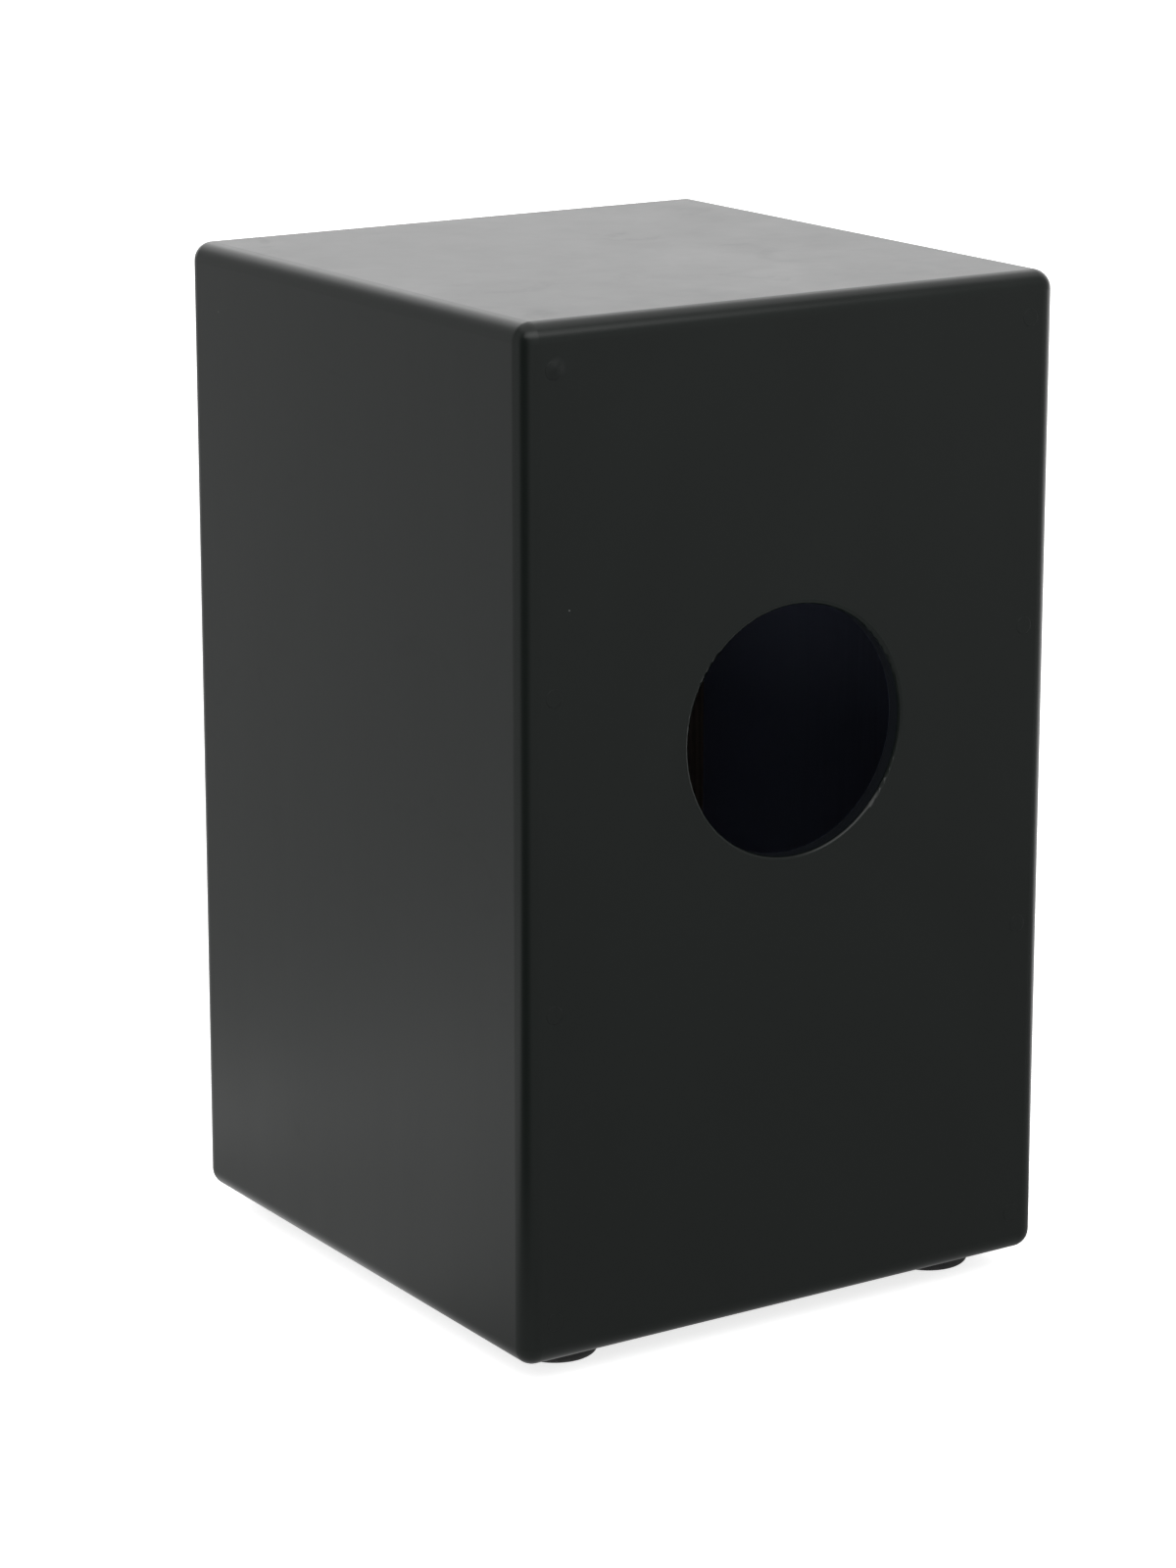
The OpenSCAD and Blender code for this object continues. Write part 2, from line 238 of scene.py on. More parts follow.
def material(name, colour, roughness, metallic=0.0, specular=0.5):
    """A new material with its Principled shader: (material, tree, shader, object coordinates)."""
    made = bpy.data.materials.new(name)
    made.use_nodes = True
    tree = made.node_tree
    tree.nodes.clear()
    shader = tree.nodes.new("ShaderNodeBsdfPrincipled")
    out = tree.nodes.new("ShaderNodeOutputMaterial")
    tree.links.new(shader.outputs[0], out.inputs[0])
    shader.inputs["Base Color"].default_value = (*colour, 1)
    shader.inputs["Roughness"].default_value = roughness
    shader.inputs["Metallic"].default_value = metallic
    shader.inputs["Specular IOR Level"].default_value = specular
    place = tree.nodes.new("ShaderNodeTexCoord").outputs["Object"]
    return made, tree, shader, place


# ---------------------------------------------------------------- paint and wood

PAINT = (0.0036, 0.0056, 0.0047)
PAINT_TONES = (0.93, 1.07)  # least and most that clouds in the paint multiply its colour by
NIB_DUST = (0.11, 0.115, 0.11)
PRIMER = (0.060, 0.068, 0.105)
# the primer made lighter, as painted fill light for the dim front of the cavity
PRIMER_PAINTED_FILL = (0.190, 0.213, 0.315)
PAINTED_FILL_SPAN = (-110 * MM, 60 * MM)  # y at which the primer is lightest, and y from which it has its own colour again: painted fill light, lighter towards the front where little light reaches inside
BORE_PAINT = (0.0095, 0.0110, 0.0135)
PAINT_GLOSS = 0.25
PAINT_ROUGH = 0.43
EDGE_ROUGH = 0.29
RIM_ROUGH = 0.24
PRIMER_ROUGH = 0.85
FILLER_MARK = (129.6 * MM, 468.6 * MM)  # x and z of the filled screw hole that stands a little proud
FILLER_MARK_R = 5.8 * MM


def inside_mask(tree, place):
    """1 on faces that look into the box's cavity, 0 on the outside."""
    x, y, z = split(tree, place)
    parts = [
        calc(tree, "LESS_THAN", calc(tree, "ABSOLUTE", x), INNER_X + SKIN),
        calc(tree, "LESS_THAN", y, INNER_BACK_Y + SKIN),
        calc(tree, "GREATER_THAN", z, INNER_LOW - SKIN),
        calc(tree, "LESS_THAN", z, INNER_TOP + SKIN),
    ]
    return product(tree, *parts)


def bore_mask(tree, place):
    """Two masks: 1 on the sound hole's wall, fading out over its rounded rim, and 1 on the wall and rim."""
    x, y, z = split(tree, place)
    off = length(tree, x, less(tree, z, HOLE_Z))
    wall = product(tree, remap(tree, off, HOLE_R + 0.4 * RIM_R, HOLE_R + 0.8 * RIM_R, 1.0, 0.0),
                   remap(tree, y, BACK_Y - 1.2 * RIM_R, BACK_Y - 0.6 * RIM_R, 1.0, 0.0))
    return wall, remap(tree, off, HOLE_R + 0.8 * RIM_R, HOLE_R + 1.3 * RIM_R, 1.0, 0.0)


def round_over_mask(tree, place):
    """0 on the flat faces, 1 in the middle of the round-overs along the box's outer edges."""
    x, y, z = split(tree, place)
    up = less(tree, z, BOX_CENTRE.z)
    bent = []
    for value, half in ((x, HALF_W), (y, BACK_Y), (up, TOP_Z - BOX_CENTRE.z)):
        far = calc(tree, "ABSOLUTE", value)
        bent.append(remap(tree, far, half - EDGE_R, half))
    pairs = calc(tree, "MAXIMUM", product(tree, bent[0], bent[1]), product(tree, bent[1], bent[2]))
    pairs = calc(tree, "MAXIMUM", pairs, product(tree, bent[0], bent[2]))
    return remap(tree, pairs, 0.02, 0.40, 0.0, 1.0, smooth=True)


def filler_mark(tree, place):
    """Height, 0 to 1, of the filling that swelled under the paint by the back's near top corner."""
    x, y, z = split(tree, place)
    off = length(tree, less(tree, x, FILLER_MARK[0]), less(tree, z, FILLER_MARK[1]))
    dome = remap(tree, off, 0.0, FILLER_MARK_R, 1.0, 0.0, smooth=True)
    return product(tree, dome, calc(tree, "GREATER_THAN", y, BACK_Y - RIM_R))


def black_paint():
    """Satin black sprayed on smooth board: faint orange peel, hand marks, dust nibs, edges rubbed glossier.
    Dull grey-blue primer inside, made lighter towards the front as painted fill light where little light reaches,
    and a thin overspray on the wall of the sound hole."""
    made, tree, shader, place = material("black_paint", PAINT, PAINT_ROUGH, specular=PAINT_GLOSS)
    inside = inside_mask(tree, place)
    bore, rim = bore_mask(tree, place)
    clouds = noise_at(tree, stretched(tree, place, (1.0, 1.0, 0.55)), 7.0, 5.0, 0.6, 0.9)
    smudge = remap(tree, noise_at(tree, stretched(tree, place, (1.0, 1.0, 1.7)), 16.0, 4.0, 0.62, 1.6),
                   0.58, 0.72, 0.0, 1.0, smooth=True)
    wipe = noise_at(tree, stretched(tree, place, (60.0, 60.0, 5.0)), 1.0, 3.0, 0.6, 0.4)
    nibs = specks(tree, place, 34.0, 0.017, 0.30)
    scuffs = specks(tree, stretched(tree, place, (26.0, 26.0, 7.0)), 1.0, 0.02, 0.22)
    rough = total(
        tree,
        remap(tree, clouds, 0.32, 0.68, PAINT_ROUGH - 0.014, PAINT_ROUGH + 0.014),
        product(tree, smudge, 0.022),
        remap(tree, wipe, 0.3, 0.7, -0.008, 0.008),
        product(tree, scuffs, -0.06),
        product(tree, round_over_mask(tree, place), EDGE_ROUGH - PAINT_ROUGH),
        product(tree, rim, RIM_ROUGH - PAINT_ROUGH),
    )
    plug(tree, shader, "Roughness", calc(tree, "MAXIMUM", rough, product(tree, inside, PRIMER_ROUGH)))
    film = mix_colour(tree, remap(tree, clouds, 0.35, 0.65), *(shaded(PAINT, tone) for tone in PAINT_TONES))
    film = mix_colour(tree, product(tree, nibs, 0.6), film, NIB_DUST)
    film = mix_colour(tree, bore, film, BORE_PAINT)
    grain = noise_at(tree, stretched(tree, place, (320.0, 320.0, 18.0)), 1.0, 4.0, 0.6)
    raw = mix_colour(tree, remap(tree, grain, 0.3, 0.7), shaded(PRIMER, 0.8), PRIMER)
    # painted fill light: the primer is lighter towards the front, where little light reaches inside the box
    coat = remap(tree, split(tree, place)[1], *PAINTED_FILL_SPAN, 1.0, 0.0, smooth=True)
    raw = mix_colour(tree, coat, raw, PRIMER_PAINTED_FILL)
    plug(tree, shader, "Base Color", mix_colour(tree, inside, film, raw))
    peel = noise_at(tree, place, 520.0, 2.0, 0.6)
    swell = noise_at(tree, place, 21.0, 2.0, 0.5)
    normal = bump(tree, swell, 0.35 * MM, 0.12)
    normal = bump(tree, peel, 0.035 * MM, 0.4, normal)
    normal = bump(tree, nibs, 0.12 * MM, 0.8, normal)
    normal = bump(tree, filler_mark(tree, place), 1.15 * MM, 1.0, normal)
    normal = bump(tree, product(tree, grain, inside), 0.12 * MM, 0.7, normal)
    plug(tree, shader, "Normal", normal)
    return made


WOOD_GLOSS = 0.4
WOOD_RELIEF = 0.05 * MM
WOOD_MOTTLE = 0.35  # how strong the darker patches are at most
WOOD_WARP = (1.0, 0.12)  # how a pattern is scaled across and along the grain
WOOD_FIBRES = (900.0, 22.0)
WOOD_PORES = (2600.0, 150.0)


def wood(name, grain, light, dark, ring, pith, roughness):
    """Planed wood: growth rings round a pith line, fibres and pores along the grain axis. The rings are cut
    as a solid, so end grain shows on the ends. ring is their spacing and pith where they are centred."""
    made, tree, shader, place = material(name, light, roughness, specular=WOOD_GLOSS)
    across = list(split(tree, place))
    along = across.pop("xyz".index(grain))

    def grained(across_scale, along_scale):
        """The place with Z along the grain, scaled across and along it."""
        return add(tree, "ShaderNodeCombineXYZ", X=product(tree, across[0], across_scale),
                   Y=product(tree, across[1], across_scale), Z=product(tree, along, along_scale)).outputs[0]

    warp = noise_at(tree, grained(*WOOD_WARP), 14.0, 3.0, 0.5)
    radius = length(tree, less(tree, across[0], pith[0]), less(tree, across[1], pith[1]))
    radius = total(tree, radius, remap(tree, warp, 0.0, 1.0, -1.6 * ring, 1.6 * ring))
    turn = calc(tree, "FRACT", calc(tree, "DIVIDE", radius, ring))
    late = product(tree, remap(tree, turn, 0.25, 0.88, 0.0, 1.0, smooth=True),
                   remap(tree, turn, 0.90, 1.0, 1.0, 0.0, smooth=True))
    fibre = noise_at(tree, grained(*WOOD_FIBRES), 1.0, 4.0, 0.65)
    pore = remap(tree, noise_at(tree, grained(*WOOD_PORES), 1.0, 2.0, 0.5), 0.62, 0.72, 0.0, 1.0)
    tone = calc(tree, "ADD", product(tree, late, 0.55), remap(tree, fibre, 0.25, 0.75, -0.1, 0.45),
                clamp=True)
    colour = mix_colour(tree, tone, light, dark)
    patch = remap(tree, noise_at(tree, place, 17.0, 3.0), 0.35, 0.65, 0.0, WOOD_MOTTLE)
    middle = tuple((pale + deep) / 2 for pale, deep in zip(light, dark))
    colour = mix_colour(tree, patch, colour, shaded(middle, 0.62))
    colour = mix_colour(tree, product(tree, pore, 0.55), colour, shaded(dark, 0.45))
    plug(tree, shader, "Base Color", colour)
    plug(tree, shader, "Roughness", remap(tree, fibre, 0.3, 0.7, roughness - 0.06, roughness + 0.07))
    relief = total(tree, product(tree, fibre, 0.6), product(tree, pore, -0.7))
    normal = bump(tree, product(tree, late, -1.0), WOOD_RELIEF, 0.4)
    plug(tree, shader, "Normal", bump(tree, relief, WOOD_RELIEF, 0.8, normal))
    return made


TAPA_ROUGH = 0.42
TAPA_STAIN = ((0.0085, 0.0082, 0.0076), (0.0038, 0.0038, 0.0037))  # pale and dark parts of the grain
TAPA_PRIMED = ((0.150, 0.158, 0.215), (0.085, 0.088, 0.120))
TAPA_WORN = (0.013, 0.0115, 0.0095)
HIT_Z = 0.40  # height of the middle of the worn patch
HIT_HALF_X, HIT_HALF_Z = 0.095, 0.075


def tapa_wood():
    """Rotary-cut face veneer, stained black: open pores and long cathedrals show through the satin stain, and
    the middle where hands strike is polished. The inside has one thin coat of primer that lets grain show."""
    made, tree, shader, place = material("tapa_wood", PAINT, TAPA_ROUGH, specular=PAINT_GLOSS)
    x, y, z = split(tree, place)
    inner = calc(tree, "GREATER_THAN", y, INNER_FRONT_Y - SKIN)
    sway = noise_at(tree, stretched(tree, place, (5.0, 5.0, 1.3)), 1.0, 3.0, 0.5)
    off_middle = calc(tree, "ABSOLUTE", calc(tree, "ADD", x, 0.02))
    arch_at = total(tree, product(tree, off_middle, 9.0), product(tree, z, 1.15))
    arch = calc(tree, "FRACT", product(tree, total(tree, arch_at, product(tree, sway, 1.3)), 6.5))
    line = product(tree, remap(tree, arch, 0.55, 0.93, 0.0, 1.0, smooth=True),
                   remap(tree, arch, 0.95, 1.0, 1.0, 0.0))
    fibre = noise_at(tree, stretched(tree, place, (850.0, 850.0, 16.0)), 1.0, 4.0, 0.65)
    pore = remap(tree, noise_at(tree, stretched(tree, place, (2300.0, 2300.0, 90.0)), 1.0, 2.0), 0.60, 0.70)
    tone = calc(tree, "ADD", product(tree, line, 0.45), remap(tree, fibre, 0.3, 0.7, 0.0, 0.55), clamp=True)
    outer = mix_colour(tree, tone, *TAPA_STAIN)
    hit_x = product(tree, x, 1 / HIT_HALF_X)
    hit_z = product(tree, less(tree, z, HIT_Z), 1 / HIT_HALF_Z)
    reach = total(tree, product(tree, hit_x, hit_x), product(tree, hit_z, hit_z))
    patch = noise_at(tree, place, 26.0, 4.0, 0.6)
    worn = product(tree, remap(tree, reach, 0.1, 1.5, 1.0, 0.0, smooth=True),
                   remap(tree, patch, 0.35, 0.62))
    outer = mix_colour(tree, product(tree, worn, 0.35), outer, TAPA_WORN)
    thin = mix_colour(tree, tone, *TAPA_PRIMED)
    plug(tree, shader, "Base Color", mix_colour(tree, inner, outer, thin))
    rough = less(tree, remap(tree, fibre, 0.3, 0.7, 0.36, 0.47), product(tree, worn, 0.09))
    plug(tree, shader, "Roughness", calc(tree, "MAXIMUM", rough, product(tree, inner, 0.8)))
    relief = total(tree, product(tree, tone, -0.5), product(tree, pore, -0.8))
    plug(tree, shader, "Normal", bump(tree, relief, 0.045 * MM, 0.8))
    return made


# ---------------------------------------------------------------- metal, rubber, plastic, felt

def metal(name, colour, dull, roughness, streak=(180.0, 180.0, 180.0), tarnish=0.35):
    """Metal with fine tool or plating marks, and patches that have dulled. streak stretches the marks, and
    tarnish is how strong the patches are at most."""
    made, tree, shader, place = material(name, colour, roughness, metallic=1.0)
    marks = noise_at(tree, stretched(tree, place, streak), 6.0, 3.0, 0.6)
    patch = remap(tree, noise_at(tree, place, 190.0, 4.0, 0.6, 0.5), 0.42, 0.66, 0.0, tarnish)
    plug(tree, shader, "Base Color", mix_colour(tree, patch, colour, dull))
    rough = remap(tree, marks, 0.3, 0.7, roughness - 0.06, roughness + 0.08)
    plug(tree, shader, "Roughness", total(tree, rough, product(tree, patch, 0.25)))
    plug(tree, shader, "Normal", bump(tree, marks, 0.012 * MM, 0.6))
    return made


def foot_rubber():
    """Moulded black rubber: fine pitted skin, a rubbed band where it meets the floor, dust in the skin."""
    made, tree, shader, place = material("foot_rubber", (0.011, 0.011, 0.0115), 0.62, specular=0.35)
    z = split(tree, place)[2]
    pits = noise_at(tree, place, 1500.0, 3.0, 0.6)
    dust = remap(tree, noise_at(tree, place, 140.0, 5.0, 0.7), 0.48, 0.70, 0.0, 1.0)
    low = remap(tree, z, 0.2 * MM, 3.2 * MM, 1.0, 0.0, smooth=True)
    grey = calc(tree, "ADD", product(tree, dust, 0.16), product(tree, dust, low, 0.55), clamp=True)
    plug(tree, shader, "Base Color", mix_colour(tree, grey, (0.0095, 0.0095, 0.010), (0.060, 0.058, 0.054)))
    plug(tree, shader, "Roughness", remap(tree, pits, 0.3, 0.7, 0.55, 0.72))
    plug(tree, shader, "Normal", bump(tree, pits, 0.06 * MM, 0.7))
    return made


def washer_rubber():
    """Soft sheet rubber, punched: dull, with talc left in its skin."""
    made, tree, shader, place = material("washer_rubber", (0.02, 0.02, 0.02), 0.78, specular=0.3)
    skin = noise_at(tree, place, 900.0, 4.0, 0.65)
    talc = remap(tree, noise_at(tree, place, 260.0, 3.0), 0.5, 0.75, 0.0, 0.35)
    plug(tree, shader, "Base Color", mix_colour(tree, talc, (0.018, 0.018, 0.018), (0.12, 0.118, 0.11)))
    plug(tree, shader, "Roughness", remap(tree, skin, 0.3, 0.7, 0.7, 0.86))
    plug(tree, shader, "Normal", bump(tree, skin, 0.05 * MM, 0.6))
    return made


def nylon():
    """Turned natural nylon: waxy, slightly see-through, with turning marks."""
    made, tree, shader, place = material("nylon", (0.74, 0.71, 0.62), 0.46)
    shader.inputs["Subsurface Weight"].default_value = 0.25
    shader.inputs["Subsurface Radius"].default_value = (0.004, 0.003, 0.002)
    shader.inputs["Subsurface Scale"].default_value = 0.4
    turned = noise_at(tree, stretched(tree, place, (9.0, 260.0, 260.0)), 8.0, 3.0)
    stain = remap(tree, noise_at(tree, place, 220.0, 4.0), 0.4, 0.7, 0.0, 0.5)
    plug(tree, shader, "Base Color", mix_colour(tree, stain, (0.76, 0.73, 0.65), (0.60, 0.54, 0.42)))
    plug(tree, shader, "Roughness", remap(tree, turned, 0.3, 0.7, 0.38, 0.54))
    plug(tree, shader, "Normal", bump(tree, turned, 0.02 * MM, 0.6))
    return made


def felt():
    """Pressed wool felt: matted fibres in every direction, lint, a soft bloom at glancing angles."""
    made, tree, shader, place = material("felt", (0.040, 0.045, 0.043), 0.95, specular=0.15)
    shader.inputs["Sheen Weight"].default_value = 0.55
    shader.inputs["Sheen Roughness"].default_value = 0.5
    hairs = noise_at(tree, stretched(tree, place, (900.0, 2100.0, 2600.0)), 1.0, 5.0, 0.75, 2.2)
    mats = noise_at(tree, place, 420.0, 4.0, 0.65, 1.5)
    lint_at = stretched(tree, place, (500.0, 2600.0, 2600.0))
    lint = remap(tree, noise_at(tree, lint_at, 1.0, 2.0, 0.6, 3.0), 0.70, 0.76)
    tone = calc(tree, "ADD", product(tree, hairs, 0.6), product(tree, mats, 0.5), clamp=True)
    colour = mix_colour(tree, tone, (0.018, 0.021, 0.020), (0.085, 0.092, 0.088))
    plug(tree, shader, "Base Color", mix_colour(tree, product(tree, lint, 0.6), colour, (0.30, 0.31, 0.30)))
    plug(tree, shader, "Roughness", remap(tree, mats, 0.3, 0.7, 0.88, 1.0))
    normal = bump(tree, mats, 0.35 * MM, 0.8)
    plug(tree, shader, "Normal", bump(tree, hairs, 0.16 * MM, 0.9, normal))
    return made


BATTEN = dict(light=(0.175, 0.138, 0.112), dark=(0.075, 0.057, 0.046), ring=2.6 * MM, roughness=0.72)

MADE = {
    "black_paint": black_paint(),
    "tapa_wood": tapa_wood(),
    "batten_wood": wood("batten_wood", "z", pith=(0.05, -0.3), **BATTEN),
    "batten_wood_cross": wood("batten_wood_cross", "x", pith=(-0.09, 0.4), **BATTEN),
    "block_wood": wood("block_wood", "z", light=(0.47, 0.31, 0.18), dark=(0.27, 0.155, 0.08),
                       ring=1.7 * MM, pith=(0.16, -0.20), roughness=0.6),
    "bar_wood": wood("bar_wood", "x", light=(0.56, 0.39, 0.235), dark=(0.36, 0.22, 0.12),
                     ring=1.5 * MM, pith=(-0.145, 0.32), roughness=0.48),
    "black_steel": metal("black_steel", (0.045, 0.045, 0.048), (0.018, 0.017, 0.016), 0.36),
    "zinc_steel": metal("zinc_steel", (0.66, 0.64, 0.55), (0.36, 0.34, 0.29), 0.30),
    "foot_rubber": foot_rubber(),
    "nylon": nylon(),
    "plate_brass": metal("plate_brass", (0.80, 0.62, 0.30), (0.42, 0.27, 0.12), 0.27,
                         streak=(14.0, 260.0, 260.0), tarnish=0.45),
    "strand_steel": metal("strand_steel", (0.66, 0.66, 0.67), (0.42, 0.41, 0.40), 0.20,
                          streak=(200.0, 200.0, 200.0), tarnish=0.2),
    "solder": metal("solder", (0.52, 0.52, 0.53), (0.30, 0.29, 0.28), 0.42,
                    streak=(90.0, 90.0, 90.0), tarnish=0.6),
    "washer_rubber": washer_rubber(),
    "felt": felt(),
}
CROSS_BATTENS = ("front_top_batten", "front_bottom_batten", "back_top_batten", "back_bottom_batten")


def dress():
    """Each CAD node takes the new material of its own slot in the record, with the grain along the node."""
    slots = {s["node"]: s["material_slot"] for s in record["subparts"]}
    for name, piece in nodes.items():
        made = MADE["batten_wood_cross" if name in CROSS_BATTENS else slots[name]]
        for slot in piece.material_slots:
            slot.material = made


# ---------------------------------------------------------------- mesh helpers

WELD = 0.001 * MM  # points of a CAD mesh nearer than this are one


def new_piece(name, mesh_maker, body, slot, stands_for, made=None):
    """A piece from a bmesh that mesh_maker fills, riding on a body in place of the CAD nodes in stands_for.
    Its material is the slot's, or made."""
    shape = bmesh.new()
    mesh_maker(shape)
    bmesh.ops.recalc_face_normals(shape, faces=shape.faces)
    mesh = bpy.data.meshes.new(name)
    shape.to_mesh(mesh)
    shape.free()
    mesh.shade_smooth()
    mesh.materials.append(made or MADE[slot])
    piece = bpy.data.objects.new(name, mesh)
    bpy.context.scene.collection.objects.link(piece)
    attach(piece, body)
    if stands_for:
        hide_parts(*stands_for)
    return piece


def rings_to_skin(shape, rings, close_ring=True):
    """Joins a list of vertex rings, each to the next, with quads."""
    count = len(rings[0])
    for one, two in zip(rings, rings[1:]):
        for i in range(count if close_ring else count - 1):
            j = (i + 1) % count
            shape.faces.new((one[i], one[j], two[j], two[i]))


def turns_of(count):
    """Angles in radians at count even steps round a circle."""
    return [math.tau * step / count for step in range(count)]


def corners_of(points):
    """The lowest and the highest corner of the box round some points."""
    return (Vector([min(point[k] for point in points) for k in range(3)]),
            Vector([max(point[k] for point in points) for k in range(3)]))


def islands(mesh):
    """The separate shells of a mesh as (centre, lowest, highest corner), sorted."""
    shape = bmesh.new()
    shape.from_mesh(mesh)
    bmesh.ops.remove_doubles(shape, verts=shape.verts, dist=WELD)
    seen, found = set(), []
    for start in shape.verts:
        if start in seen:
            continue
        group, stack = [], [start]
        seen.add(start)
        while stack:
            vertex = stack.pop()
            group.append(vertex.co.copy())
            for edge in vertex.link_edges:
                other = edge.other_vert(vertex)
                if other not in seen:
                    seen.add(other)
                    stack.append(other)
        low, high = corners_of(group)
        found.append(((low + high) / 2, low, high))
    shape.free()
    return sorted(found, key=lambda item: (round(item[0].x, 4), round(item[0].z, 4)))


# ---------------------------------------------------------------- filled screw holes in the back

FILLER_RINGS = 14
FILLER_SIDES = 40
FILLER_THICK = 1.6 * MM
FILLER_SUNK = (0.01 * MM, 0.04 * MM)  # least and most that a filling has shrunk below the panel
FILLER_SEED = 4


def fill_screw_holes(shape):
    """Round fillings under the paint, each shrunk a little below the panel, least at its rim."""
    draw = random.Random(FILLER_SEED)
    for centre, low, high in islands(nodes["back_screw_plugs"].data):
        radius = (high.x - low.x) / 2
        sunk = draw.uniform(*FILLER_SUNK)
        rings = []
        for step in range(1, FILLER_RINGS + 1):
            share = step / FILLER_RINGS
            y = BACK_Y - sunk * (1 - share ** 4)
            rings.append([shape.verts.new((centre.x + math.cos(turn) * radius * share, y,
                                           centre.z + math.sin(turn) * radius * share))
                          for turn in turns_of(FILLER_SIDES)])
        middle = shape.verts.new((centre.x, BACK_Y - sunk, centre.z))
        for side in range(FILLER_SIDES):
            shape.faces.new((middle, rings[0][side], rings[0][(side + 1) % FILLER_SIDES]))
        base = [shape.verts.new((v.co.x, BACK_Y - FILLER_THICK, v.co.z)) for v in rings[-1]]
        rings.append(base)
        rings_to_skin(shape, rings)
        shape.faces.new(base)


# ---------------------------------------------------------------- snare rocker's small pieces

LEAN_DEGREES = 12.0  # how far the rocker leans from upright at rest
STRAND_LEAN = Matrix.Translation(PIVOT) @ Matrix.Rotation(math.radians(LEAN_DEGREES), 4, "X")
COIL_PITCH = 1.15 * MM
COIL_STEPS = 12  # rings of points in one turn of a coil
COIL_TWIST = 1.7  # radians that each coil is turned past the one before
WIRE_R = 0.21 * MM
WIRE_SIDES = 5


def rocker_mesh(name):
    """A copy of a CAD node's mesh, in the rocker's own frame."""
    mesh = nodes[name].data.copy()
    mesh.transform(STRAND_LEAN.inverted())
    return mesh


def rocker_places(name):
    """Each shell of a CAD node, in the rocker's own frame: (centre, lowest, highest corner)."""
    mesh = rocker_mesh(name)
    found = islands(mesh)
    bpy.data.meshes.remove(mesh)
    return found


def coil(shape, centre, low_z, high_z, radius, spin):
    """One coiled strand: a round wire wound on a line along the rocker's +Z, with a flat cut at each end."""
    height = high_z - low_z
    turns = height / COIL_PITCH
    steps = int(turns * COIL_STEPS)
    wind_r = radius - WIRE_R
    rings = []
    for step in range(steps + 1):
        share = step / steps
        angle = spin + share * turns * math.tau
        out = Vector((math.cos(angle), math.sin(angle), 0))
        along = Vector((-out.y * wind_r, out.x * wind_r, COIL_PITCH / math.tau))
        side = out.cross(along.normalized())
        at = Vector((centre.x, centre.y, low_z + WIRE_R + share * (height - 2 * WIRE_R))) + out * wind_r
        spokes = [(out * math.cos(turn) + side * math.sin(turn)) * WIRE_R for turn in turns_of(WIRE_SIDES)]
        rings.append([shape.verts.new(STRAND_LEAN @ (at + spoke)) for spoke in spokes])
    rings_to_skin(shape, rings)
    shape.faces.new(rings[0])
    shape.faces.new(rings[-1])


def strands(name):
    """A maker of all the coils of one set, each turned by a different amount."""
    places = rocker_places(name)

    def fill(shape):
        for number, (centre, low, high) in enumerate(places):
            coil(shape, centre, low.z, high.z, (high.x - low.x) / 2, number * COIL_TWIST)
    return fill


SOLDER_ROWS, SOLDER_COLUMNS = 8, 12
SOLDER_HALF_W = (1.75 * MM, 0.15 * MM)  # a mound's least half width, and the most that is added to it
SOLDER_HALF_H = (2.9 * MM, 0.5 * MM)
SOLDER_UP = 3.4 * MM  # height of its middle above the strand's lower end
SOLDER_SWELL = 1.35 * MM
SOLDER_SUNK = 0.03 * MM


def solder(name):
    """A maker of the low mounds of solder that hold each strand's end to the plate."""
    places = rocker_places(name)

    def fill(shape):
        for number, (centre, low, high) in enumerate(places):
            draw = random.Random(number + len(name))
            half_w, half_h = (least + more * draw.random() for least, more in (SOLDER_HALF_W, SOLDER_HALF_H))
            foot_y = high.y - SOLDER_SUNK
            rows = []
            for i in range(SOLDER_ROWS + 1):
                v = -1 + 2 * i / SOLDER_ROWS
                row = []
                for j in range(SOLDER_COLUMNS + 1):
                    u = -1 + 2 * j / SOLDER_COLUMNS
                    swell = max(0.0, 1 - u * u) ** 0.8 * max(0.0, 1 - v * v) ** 0.6
                    swell *= 1 + 0.12 * noise.noise(Vector((u * 2, v * 2, number * 3.1)))
                    point = Vector((centre.x + u * half_w * (1 - 0.18 * v * v),
                                    foot_y - SOLDER_SWELL * swell,
                                    low.z + SOLDER_UP + v * half_h * (1 - 0.15 * u * u)))
                    row.append(shape.verts.new(STRAND_LEAN @ point))
                rows.append(row)
            rings_to_skin(shape, rows, close_ring=False)
            rim = rows[0] + [r[-1] for r in rows[1:]] + rows[-1][-2::-1] + [r[0] for r in rows[-2:0:-1]]
            shape.faces.new(rim)
    return fill


FELT_STEP = 1.1 * MM
FELT_EDGE = 0.9 * MM  # radius of its long edges
FELT_ARC_STEPS = 3
FELT_PINCH = 0.24  # share by which the strip is thinner at its cut ends
FELT_PINCH_REACH = 1.4 * MM
FELT_DIP = 0.24 * MM  # how deep its matted faces dip
FELT_LUMPS_ALONG, FELT_LUMPS_ACROSS = 260.0, 420.0  # per metre
FELT_GLUED = 0.2 * MM  # what lies this near the bar is glued to it and stays flat


def felt_outline(low, high):
    """(y, z) points round the strip's section: a rectangle with rounded corners, in steps of FELT_STEP."""
    bends = []
    corners = ((high.y, high.z, 0), (low.y, high.z, 90), (low.y, low.z, 180), (high.y, low.z, 270))
    for corner_y, corner_z, start in corners:
        in_y = corner_y + (-FELT_EDGE if corner_y == high.y else FELT_EDGE)
        in_z = corner_z + (-FELT_EDGE if corner_z == high.z else FELT_EDGE)
        for k in range(FELT_ARC_STEPS + 1):
            turn = math.radians(start + 90 / FELT_ARC_STEPS * k)
            bends.append((in_y + FELT_EDGE * math.cos(turn), in_z + FELT_EDGE * math.sin(turn)))
    points = []
    for (y0, z0), (y1, z1) in zip(bends, bends[1:] + bends[:1]):
        parts = max(1, round(math.hypot(y1 - y0, z1 - z0) / FELT_STEP))
        points += [(y0 + (y1 - y0) * k / parts, z0 + (z1 - z0) * k / parts) for k in range(parts)]
    return points


